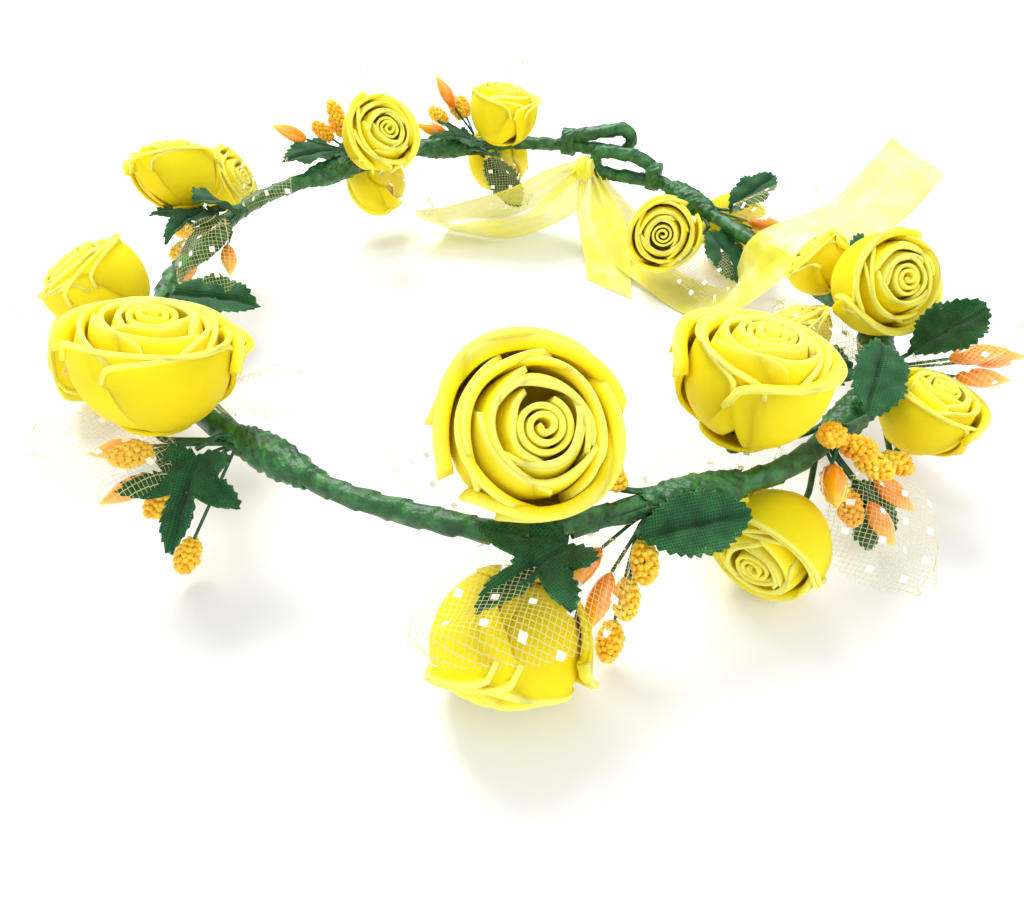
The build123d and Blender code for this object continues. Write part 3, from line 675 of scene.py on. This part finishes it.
class OBJECT_OT_crown_berries(bpy.types.Operator):
    """Covers each stamen head with beads"""
    bl_idname = "object.crown_berries"
    bl_label = "Bead clusters"

    def execute(self, context):
        sugar = bead_sugar()
        bead = size_of("bead") / 2
        ball, quads = ball_mesh(7, 9)
        for number, bunch in enumerate(BUNCHES):
            node = f"berries_{bunch}"
            draw = np.random.default_rng(500 + number)
            shape = Shape()
            for points, triangles in loose_parts(node):
                middle, axes = principal(points)
                half = np.abs((points - middle) @ axes.T).max(0)
                rows = ball * (half - bead * 1.1)
                shape.add(to_frame(rows, middle, axes), quads, 0.45)
                mean = half.mean()
                area = 4 * math.pi * (mean - bead * 0.5) ** 2
                count = int(area / (2 * bead) ** 2 * BEAD_PACKING)
                rank = np.arange(count) + 0.5
                lift = np.arccos(1 - 2 * rank / count)
                turn = rank * math.pi * (1 + 5 ** 0.5)
                spots = np.stack([np.cos(turn) * np.sin(lift), np.sin(turn) * np.sin(lift),
                                  np.cos(lift)], 1)
                spots = spots * (half - bead * BEAD_SINK) + draw.normal(0, 0.10, (count, 3))
                base = draw.uniform(0.25, 0.75)
                for spot in to_frame(spots, middle, axes):
                    size = bead * draw.uniform(0.86, 1.12)
                    tone = float(np.clip(base + draw.normal(0, 0.14), 0, 1))
                    shape.add(spot + ball * size, quads, tone)
            shape.build(f"{node}_beads", sugar, [node])
        return {"FINISHED"}


class OBJECT_OT_crown_pips(bpy.types.Operator):
    """Lathes the lacquered pips"""
    bl_idname = "object.crown_pips"
    bl_label = "Pips"

    def execute(self, context):
        shape = Shape()
        draw = random.Random(71)
        wires = np.concatenate([points for points, _ in loose_parts("stamen_wires")])
        for points, _ in loose_parts("pips"):
            middle, axes = principal(points)
            axis = axes[0]
            half = np.abs((points - middle) @ axes.T).max(0)
            ends = [middle - axis * half[0], middle + axis * half[0]]
            if nearest(ends[:1], wires)[0] > nearest(ends[1:], wires)[0]:
                axis = -axis
            length, radius = 2 * half[0], (half[1] + half[2]) / 2
            rows = []
            for t in np.linspace(0, 1, 15):
                body = math.sin(math.pi * min(t, 0.999) ** 0.85) ** 0.72
                point = 1 - 0.28 * max(t - 0.6, 0) / 0.4
                rows.append((max(radius * body * point, 0.02), (t - 0.5) * length))
            lathe(shape, rows, middle, frame_of(axis), np.linspace(0.12, 1, 15) ** 1.3
                  + draw.uniform(-0.08, 0.08), 14)
        shape.build("pips_lacquered", pip_lacquer(), ["pips"])
        return {"FINISHED"}


# ---------------------------------------------------------------- leaves
def outline_of(points, triangles, normal):
    """The rim of a flat solid's upper face, in order."""
    a, b, c = (points[triangles[:, k]] for k in range(3))
    facing = np.cross(b - a, c - a) @ normal
    size = np.linalg.norm(np.cross(b - a, c - a), axis=1)
    upper = triangles[facing > 0.9 * size]
    count = {}
    for triangle in upper:
        for k in range(3):
            edge = (triangle[k], triangle[(k + 1) % 3])
            count[edge] = count.get(edge, 0) + 1
    following = {a: b for a, b in count if (b, a) not in count}
    start = next(iter(following))
    walk = [start]
    while following[walk[-1]] != start and len(walk) <= len(following):
        walk.append(following[walk[-1]])
    return points[walk]


def leaf(shape, points, triangles, roots, depth, draw):
    """A cut leaf: toothed rim, pressed veins to its tips, and a curl."""
    middle, axes = principal(points)
    normal = axes[2] if axes[2][2] > 0 else -axes[2]
    rim = outline_of(points, triangles, normal)
    root = rim[nearest(rim, roots).argmin()]
    tip = rim[np.linalg.norm(rim - root, axis=1).argmax()]
    first = unit(tip - root)
    axes = np.array([first, np.cross(normal, first), normal])
    flat = (rim - root) @ axes.T
    closed = np.vstack([flat, flat[:1]])
    even = resample(closed, TOOTH_STEP)[0][:-1, :2]
    centre = even.mean(0)
    length = np.linalg.norm(tip - root)
    away = np.linalg.norm(even - centre, axis=1)
    window = max(4, len(even) // 14)
    tips = [k for k in range(len(even)) if away[k] >= away[np.arange(k - window, k + window + 1)
                                                        % len(even)].max() - 1e-9]
    tooth = depth * (np.arange(len(even)) % 3 - 1) / 2
    tooth = tooth + np.array([draw.uniform(-0.2, 0.2) for _ in even]) * depth
    even = centre + (even - centre) * (1 + (tooth - 0.2 * depth) / away)[:, None]
    shares = np.linspace(0.02, 1, 13)[:, None, None]
    sheet = centre + (even - centre)[None] * shares
    x, y = sheet[..., 0], sheet[..., 1]
    crease = np.zeros_like(x)
    for end in [even[k] for k in tips]:
        run = np.linalg.norm(end)
        if run < 0.3 * length:
            continue
        share = np.clip((x * end[0] + y * end[1]) / run ** 2, 0, 1)
        gap = np.hypot(x - end[0] * share, y - end[1] * share)
        crease = np.maximum(crease, np.exp(-(gap / CREASE_WIDTH) ** 2))
    ripple = draw.uniform(0, 6)
    curl = draw.uniform(0.10, 0.22)
    z = -1.0 * crease + 0.16 * np.abs(y) - curl * (x - 0.4 * length) ** 2 / length
    edge = shares[..., 0] ** 3
    z = z + 0.75 * edge * np.sin(np.arctan2(y, x - centre[0]) * 5 + ripple)
    z = z + 0.25 * np.sin(x * 0.9 + ripple) * np.cos(y * 0.8)
    points = to_frame(np.stack([x, y, z], -1), root, axes)
    # Lighter towards the rim, and painted shade darkening the creases.
    tone = 0.25 + 0.5 * edge + 0 * x - 0.25 * crease
    shape.grid(points, tone, sheet, wrap=True)


class OBJECT_OT_crown_leaves(bpy.types.Operator):
    """Cuts, creases and curls the cloth leaves"""
    bl_idname = "object.crown_leaves"
    bl_label = "Leaves"

    def execute(self, context):
        cloth = leaf_cloth()
        roots = np.concatenate([points for points, _ in loose_parts("leaf_stems")])
        for number, bunch in enumerate(BUNCHES):
            node = f"leaves_{bunch}"
            draw = random.Random(900 + number)
            shape = Shape()
            for points, triangles in loose_parts(node):
                leaf(shape, points, triangles, roots, size_of("tooth"), draw)
            shape.build(f"{node}_cloth", cloth, [node], size_of("leaf"))
        return {"FINISHED"}


# ---------------------------------------------------------------- tape and wires
def rotation_free_frames(line):
    """Two cross axes at each point of a line, carried along without twist."""
    tangents = units(np.gradient(line, axis=0))
    side = unit(np.cross(tangents[0], (0, 0, 1)))
    sides = []
    for tangent in tangents:
        side = unit(side - tangent * (side @ tangent))
        sides.append(side)
    sides = np.array(sides)
    return sides, np.cross(tangents, sides)


def worked_copy(node, rough):
    """A CAD node's soft solid meshed finely, with wound ridges and lumps pressed into it."""
    copy = new_object("work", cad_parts[node].data.copy())
    remesh = copy.modifiers.new("fine", "REMESH")
    remesh.mode = "VOXEL"
    remesh.voxel_size = WORKED_VOXEL * MM
    bpy.context.view_layer.update()
    graph = bpy.context.evaluated_depsgraph_get()
    mesh = bpy.data.meshes.new_from_object(copy.evaluated_get(graph))
    bpy.data.objects.remove(copy)
    points = np.array([v.co for v in mesh.vertices]) / MM
    normals = np.array([v.normal for v in mesh.vertices])
    along = np.arctan2(points[:, 1], points[:, 0]) * np.hypot(points[:, 0], points[:, 1])
    wave = TAPE_RIDGE * np.sin(2 * math.pi * (along + 0.35 * points[:, 2]) / TAPE_RIDGE_PITCH)
    lumps = np.array([noise.noise(Vector(p) * 0.55) + 0.5 * noise.noise(Vector(p) * 1.4)
                      for p in points])
    points = points + normals * (wave + rough * lumps)[:, None]
    faces = [list(face.vertices) for face in mesh.polygons]
    bpy.data.meshes.remove(mesh)
    return points, faces


class OBJECT_OT_crown_tape(bpy.types.Operator):
    """Winds the tape round the hoop and the bindings, and remakes the tabs in lumpy tape"""
    bl_idname = "object.crown_tape"
    bl_label = "Floral tape"

    def execute(self, context):
        tape = floral_tape()
        wrap = size_of("wrap")
        route = wire_route()
        covered = np.concatenate([points for points, _ in loose_parts("stem_tape")])
        kept = np.flatnonzero(nearest(route, covered) < TAPE_RADIUS + 0.25)
        line, along = resample(route[kept[0]:kept[-1] + 1], TAPE_STEP)
        sides, ups = rotation_free_frames(line)
        turn = np.linspace(0, 2 * math.pi, 26, endpoint=False)
        phase = (along[:, None] / wrap + turn[None] / (2 * math.pi)) % 1
        rise = 0.42 * phase ** 1.5 - 0.12 + 0.10 * np.sin(5 * turn[None] + along[:, None] * 0.35)
        lumps = np.array([noise.noise(Vector(point) * 0.22) for point in line])[:, None]
        radius = TAPE_RADIUS + rise + 0.35 * lumps
        radius[0] = radius[-1] = 0.9
        points = line[:, None] + radius[..., None] * (
            np.cos(turn)[None, :, None] * sides[:, None] + np.sin(turn)[None, :, None] * ups[:, None])
        shape = Shape()
        shape.grid(points, phase, wrap=True)
        shape.build("hoop_tape", tape, ["stem_tape"])
        for node, name, rough in (("bunch_bindings", "binding_tape", 0.55),
                                  ("eye_tabs", "tab_tape", 0.25)):
            shape = Shape()
            points, faces = worked_copy(node, rough)
            shape.points, shape.faces = [points], faces
            shape.tones, shape.flats = [np.full(len(points), 0.5)], [np.zeros((len(points), 2))]
            shape.build(name, tape, [node])
        return {"FINISHED"}


class OBJECT_OT_crown_wires(bpy.types.Operator):
    """Gives the wires their finishes"""
    bl_idname = "object.crown_wires"
    bl_label = "Wires"

    def execute(self, context):
        painted = painted_wire()
        finishes = {"hoop_wire": annealed_steel(), "wire_cover": covered_wire(),
                    "rose_stems": painted, "leaf_stems": painted, "stamen_wires": painted}
        for node, material in finishes.items():
            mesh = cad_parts[node].data
            mesh.materials.clear()
            mesh.materials.append(material)
        # The soft solids are hidden, and still carry the finish of what stands for them.
        hidden = {"rose_": "craft_foam_lemon", "berries_": "bead_sugar", "pips": "pip_lacquer",
                  "leaves_": "starched_cotton", "stem_tape": "floral_tape",
                  "bunch_": "floral_tape", "eye_tabs": "floral_tape",
                  "tulle_": "dotted_tulle", "ribbon": "organza"}
        for node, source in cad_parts.items():
            if node in finishes:
                continue
            found = next(name for start, name in hidden.items() if node.startswith(start))
            source.data.materials.clear()
            source.data.materials.append(bpy.data.materials[found])
        return {"FINISHED"}


def net_flap(name, node, points, line, material, draw):
    """One flap of net: gathered at the binding, cupped, with soft folds to a point."""
    middle, axes = principal(points)
    normal = axes[2] if axes[2][2] > 0 else -axes[2]
    reach = (points - middle) @ axes[0]
    low, high = points[reach < reach.min() + 0.2].mean(0), points[reach > reach.max() - 0.2].mean(0)
    # The kite's root is where the hoop is.
    root, tip = (low, high) if nearest([low], line)[0] < nearest([high], line)[0] else (high, low)
    first = unit(tip - root)
    across = np.cross(normal, first)
    length = np.linalg.norm(tip - root)
    half = np.abs((points - middle) @ across).max()
    v = np.linspace(0, 1, 60)[:, None]
    u = np.linspace(-1, 1, 48)[None, :]
    width = half * (0.16 + 1.02 * np.sin(math.pi * v ** 0.82) ** 0.9 + 0.10 * v)
    x = length * 1.04 * v - 0.05 * length * np.abs(u) * v
    y = width * u
    fold = draw.uniform(0, 6)
    bend = draw.uniform(0.18, 0.32) * length
    z = bend * np.sin(math.pi * v * 0.9) * 0.45 - 0.30 * width * np.abs(u) ** 2.0
    z = z + (0.9 + 1.2 * v) * np.sin(u * 5.2 + fold + 2.2 * v) * (0.25 + 0.75 * v)
    z = z + 0.5 * np.sin(u * 11 + fold * 2) * (1 - v)
    local = np.stack([x + 0 * u, y, z], -1)
    flat = np.stack([x + 0 * u, y * (1.0 + 0.12 * v)], -1)
    shape = Shape()
    shape.grid(to_frame(local, root, [first, across, normal]), 0.5 + 0 * u * v, flat)
    piece = shape.build(name, material, [node])


class OBJECT_OT_crown_tulle(bpy.types.Operator):
    """Gathers the flaps of dotted net at the bindings"""
    bl_idname = "object.crown_tulle"
    bl_label = "Dotted tulle"

    def execute(self, context):
        net = dotted_tulle()
        line, _ = resample(wire_route(), 2.0)
        for number, bunch in enumerate(BUNCHES):
            node = f"tulle_{bunch}"
            draw = random.Random(1300 + number)
            for count, (points, _) in enumerate(loose_parts(node)):
                net_flap(f"{node}_flap_{count + 1}", node, points, line, net, draw)
        return {"FINISHED"}


# The ribbon's route repeats the CAD part's stations. Each has the middle of its width, as how
# far across the closure, outside the hoop and over the wire it is, its width, and the azimuth
# and elevation of the line across it.
HOOP_RADIUS = 92.0
WIRE_HEIGHT = 29.0


def around(angle, outward):
    """A place by its angle on the hoop, as its place at the closure."""
    reach, turn = HOOP_RADIUS + outward, math.radians(angle)
    return reach * math.cos(turn), reach * math.sin(turn) - HOOP_RADIUS


BOW_LOOP = [
    (-7, -5, -3, 5, 250, 60), (-20, -9, -11, 20, 250, 45), (-36, -13, -18, 20, 250, 35),
    (-50, -17, -21.5, 20, 250, 35), (-58, -21, -22, 20, 250, 35), (-59, -26, -22, 20, 250, 35),
    (-53, -29, -22, 20, 250, 35), (-38, -27, -22, 20, 250, 35), (-20, -20, -19, 20, 250, 35),
    (-9, -13, -11, 20, 250, 45), (-5, -8, -2, 5, 250, 60)]
SHORT_TAIL = [
    (-2, -7.5, -2, 5, 0, 0), (6, -18, -15, 20, -10, 0), (12, -29, -26, 20, -20, 0),
    (16, -42, -28, 20, -25, 0)]
LONG_TAIL = [
    (1, -7, -4, 5, 30, 0), (11, -11, -18, 20, 40, 0), (24, -24, -26, 20, 58, 0),
    (*around(48, -22), -27.5, 20, 70, 0), (*around(38, -19), -20, 20, 105, 0),
    (*around(32, -15), -3, 20, 130, 0), (*around(31, -7), 3, 20, 130, 0),
    (*around(31, 7), 7, 20, 130, 10), (*around(34, 21), 12, 20, 140, 15),
    (*around(38, 36), 18, 20, 150, 20)]


def station_values(stations):
    """Each station's middle, width and direction across, in mm."""
    rows = []
    for x, outward, up, width, azimuth, elevation in stations:
        turn, lift = math.radians(azimuth), math.radians(elevation)
        across = [math.cos(lift) * math.cos(turn), math.cos(lift) * math.sin(turn), math.sin(lift)]
        rows.append([x, HOOP_RADIUS + outward, WIRE_HEIGHT + up, width] + across)
    return np.array(rows)


def smooth_rows(rows, steps):
    """A smooth line through rows of numbers."""
    padded = np.vstack([2 * rows[0] - rows[1], rows, 2 * rows[-1] - rows[-2]])
    out = []
    for k in range(1, len(padded) - 2):
        a, b, c, d = padded[k - 1:k + 3]
        for t in np.linspace(0, 1, steps, endpoint=False):
            out.append(0.5 * (2 * b + (c - a) * t + (2 * a - 5 * b + 4 * c - d) * t ** 2
                              + (3 * b - a - 3 * c + d) * t ** 3))
    out.append(rows[-1])
    return np.array(out)


def ribbon_band(name, stations, material, seed):
    """One run of the ribbon: pleated where it is gathered, with soft waves."""
    rows = smooth_rows(station_values(stations), 14)
    middle, across = rows[:, :3], units(rows[:, 4:])
    width = np.clip(rows[:, 3], RIBBON_GATHERED, RIBBON_FULL)
    normal = units(np.cross(across, units(np.gradient(middle, axis=0))))
    along = np.concatenate([[0], np.cumsum(np.linalg.norm(np.diff(middle, axis=0), axis=1))])
    draw = random.Random(seed)
    u = np.linspace(-1, 1, 49)[None, :]
    gathered = np.clip(1 - width / RIBBON_FULL, 0, 1)[:, None]
    pleat = (0.15 + 2.2 * gathered) * np.sin(u * 9.5 + draw.uniform(0, 6))
    wave = 0.7 * np.sin(along[:, None] * 0.17 + u * 1.4 + draw.uniform(0, 6)) * (1 - gathered)
    y = u * width[:, None] / 2
    points = middle[:, None] + y[..., None] * across[:, None]
    points = points + (pleat + wave)[..., None] * normal[:, None]
    flat = np.stack([along[:, None] + 0 * u, u * RIBBON_FULL / 2 + 0 * along[:, None]], -1)
    shape = Shape()
    shape.grid(points, np.abs(u) + 0 * along[:, None], flat)
    piece = shape.build(name, material, ["ribbon"])
    return piece, along[-1]


def ribbon_knot(material):
    """The knot: a band pulled tight over the gathered runs."""
    solids = loose_parts("ribbon")
    points = min(solids, key=lambda part: ball_fit(part[0])[2])[0]
    middle, half = (points.max(0) + points.min(0)) / 2, (points.max(0) - points.min(0)) / 2
    u = np.linspace(0, 2 * math.pi, 64, endpoint=False)[None, :]
    v = np.linspace(-1.42, 1.42, 40)[:, None]
    ridge = 1 + 0.10 * np.sin(v * 9 + 1.2 * np.sin(u)) + 0.05 * np.sin(3 * u + 2 * v)
    local = np.stack([1.15 * half[0] * np.sin(v) * 0.9 + 0 * u,
                      1.2 * half[1] * np.cos(v) * np.cos(u) * ridge,
                      1.2 * half[2] * np.cos(v) * np.sin(u) * ridge], -1)
    shape = Shape()
    flat = np.stack([6 * v + 0 * u, 4 * u + 0 * v], -1)
    shape.grid(middle + local, 0.95 + 0 * u * v, flat, wrap=True)
    return shape.build("ribbon_knot", material, ["ribbon"])


class OBJECT_OT_crown_ribbon(bpy.types.Operator):
    """Lays the organza ribbon and its knot"""
    bl_idname = "object.crown_ribbon"
    bl_label = "Ribbon"

    def execute(self, context):
        sheer = organza()
        knot = ribbon_knot(sheer)
        for name, stations, seed in (("ribbon_bow_loop", BOW_LOOP, 3),
                                     ("ribbon_short_tail", SHORT_TAIL, 4),
                                     ("ribbon_long_tail", LONG_TAIL, 5)):
            piece, length = ribbon_band(name, stations, sheer, seed)
        return {"FINISHED"}


# ---------------------------------------------------------------- stage
class OBJECT_OT_crown_stage(bpy.types.Operator):
    """Sets the pale floor, the soft light and the camera"""
    bl_idname = "object.crown_stage"
    bl_label = "Stage"

    def execute(self, context):
        scene = context.scene
        paper, tree, shader = new_material("white_paper", {
            "Base Color": linear("#F7F7F5"), "Roughness": 0.85, "Specular IOR Level": 0.2})
        sweep = [(-9.0, 0.0), (5.0, 0.0)]
        for k in range(1, 9):
            turn = math.radians(90 * k / 8)
            sweep.append((5.0 + 2.0 * math.sin(turn), 2.0 - 2.0 * math.cos(turn)))
        sweep.append((7.0, 9.0))
        points = [(x, y, z) for y, z in sweep for x in (-12.0, 12.0)]
        faces = [(2 * k, 2 * k + 1, 2 * k + 3, 2 * k + 2) for k in range(len(sweep) - 1)]
        mesh = bpy.data.meshes.new("paper_sweep")
        mesh.from_pydata(points, [], faces)
        mesh.materials.append(paper)
        new_object("paper_sweep", mesh)
        world = bpy.data.worlds.new("white_room")
        scene.world = world
        world.use_nodes = True
        background = world.node_tree.nodes["Background"]
        background.inputs["Color"].default_value = linear("#F3F6FF")
        background.inputs["Strength"].default_value = 0.9
        for name, (place, size, power) in LAMPS.items():
            lamp = bpy.data.lights.new(name, "AREA")
            lamp.size, lamp.energy = size, power
            light = new_object(name, lamp)
            light.location = place
            aim = Vector(AIM) - Vector(place)
            light.rotation_euler = aim.to_track_quat("-Z", "Y").to_euler()
        camera = new_object("camera", bpy.data.cameras.new("camera"))
        camera.data.lens = LENS
        camera.data.sensor_width = SENSOR
        camera.data.clip_start = 0.01
        camera.location = CAMERA_PLACE
        camera.rotation_euler = (math.radians(90 - CAMERA_DOWN), 0, math.radians(CAMERA_LEFT))
        scene.camera = camera
        scene.view_settings.view_transform = "Standard"
        return {"FINISHED"}


class VIEW3D_PT_crown(bpy.types.Panel):
    """Lists the sizes, the colours and the operators"""
    bl_idname = "VIEW3D_PT_crown"
    bl_label = "Flower crown"
    bl_space_type = "VIEW_3D"
    bl_region_type = "UI"
    bl_category = "Flower crown"

    def draw(self, context):
        for group in (context.scene.crown_sizes, context.scene.crown_colours):
            for name in group.__annotations__:
                self.layout.prop(group, name)
        for operator in OPERATORS:
            self.layout.operator(operator.bl_idname)


OPERATORS = (
    OBJECT_OT_crown_roses, OBJECT_OT_crown_berries, OBJECT_OT_crown_pips,
    OBJECT_OT_crown_leaves, OBJECT_OT_crown_tape, OBJECT_OT_crown_tulle,
    OBJECT_OT_crown_ribbon, OBJECT_OT_crown_wires, OBJECT_OT_crown_stage,
)


CLASSES = (CrownSizes, CrownColours, *OPERATORS, VIEW3D_PT_crown)


def register():
    for kind in CLASSES:
        bpy.utils.register_class(kind)
    bpy.types.Scene.crown_sizes = bpy.props.PointerProperty(type=CrownSizes)
    bpy.types.Scene.crown_colours = bpy.props.PointerProperty(type=CrownColours)


def unregister():
    del bpy.types.Scene.crown_colours
    del bpy.types.Scene.crown_sizes
    for kind in reversed(CLASSES):
        bpy.utils.unregister_class(kind)


def main():
    register()
    for operator in OPERATORS:
        group, name = operator.bl_idname.split(".")
        getattr(getattr(bpy.ops, group), name)()


if __name__ == "__main__":
    main()
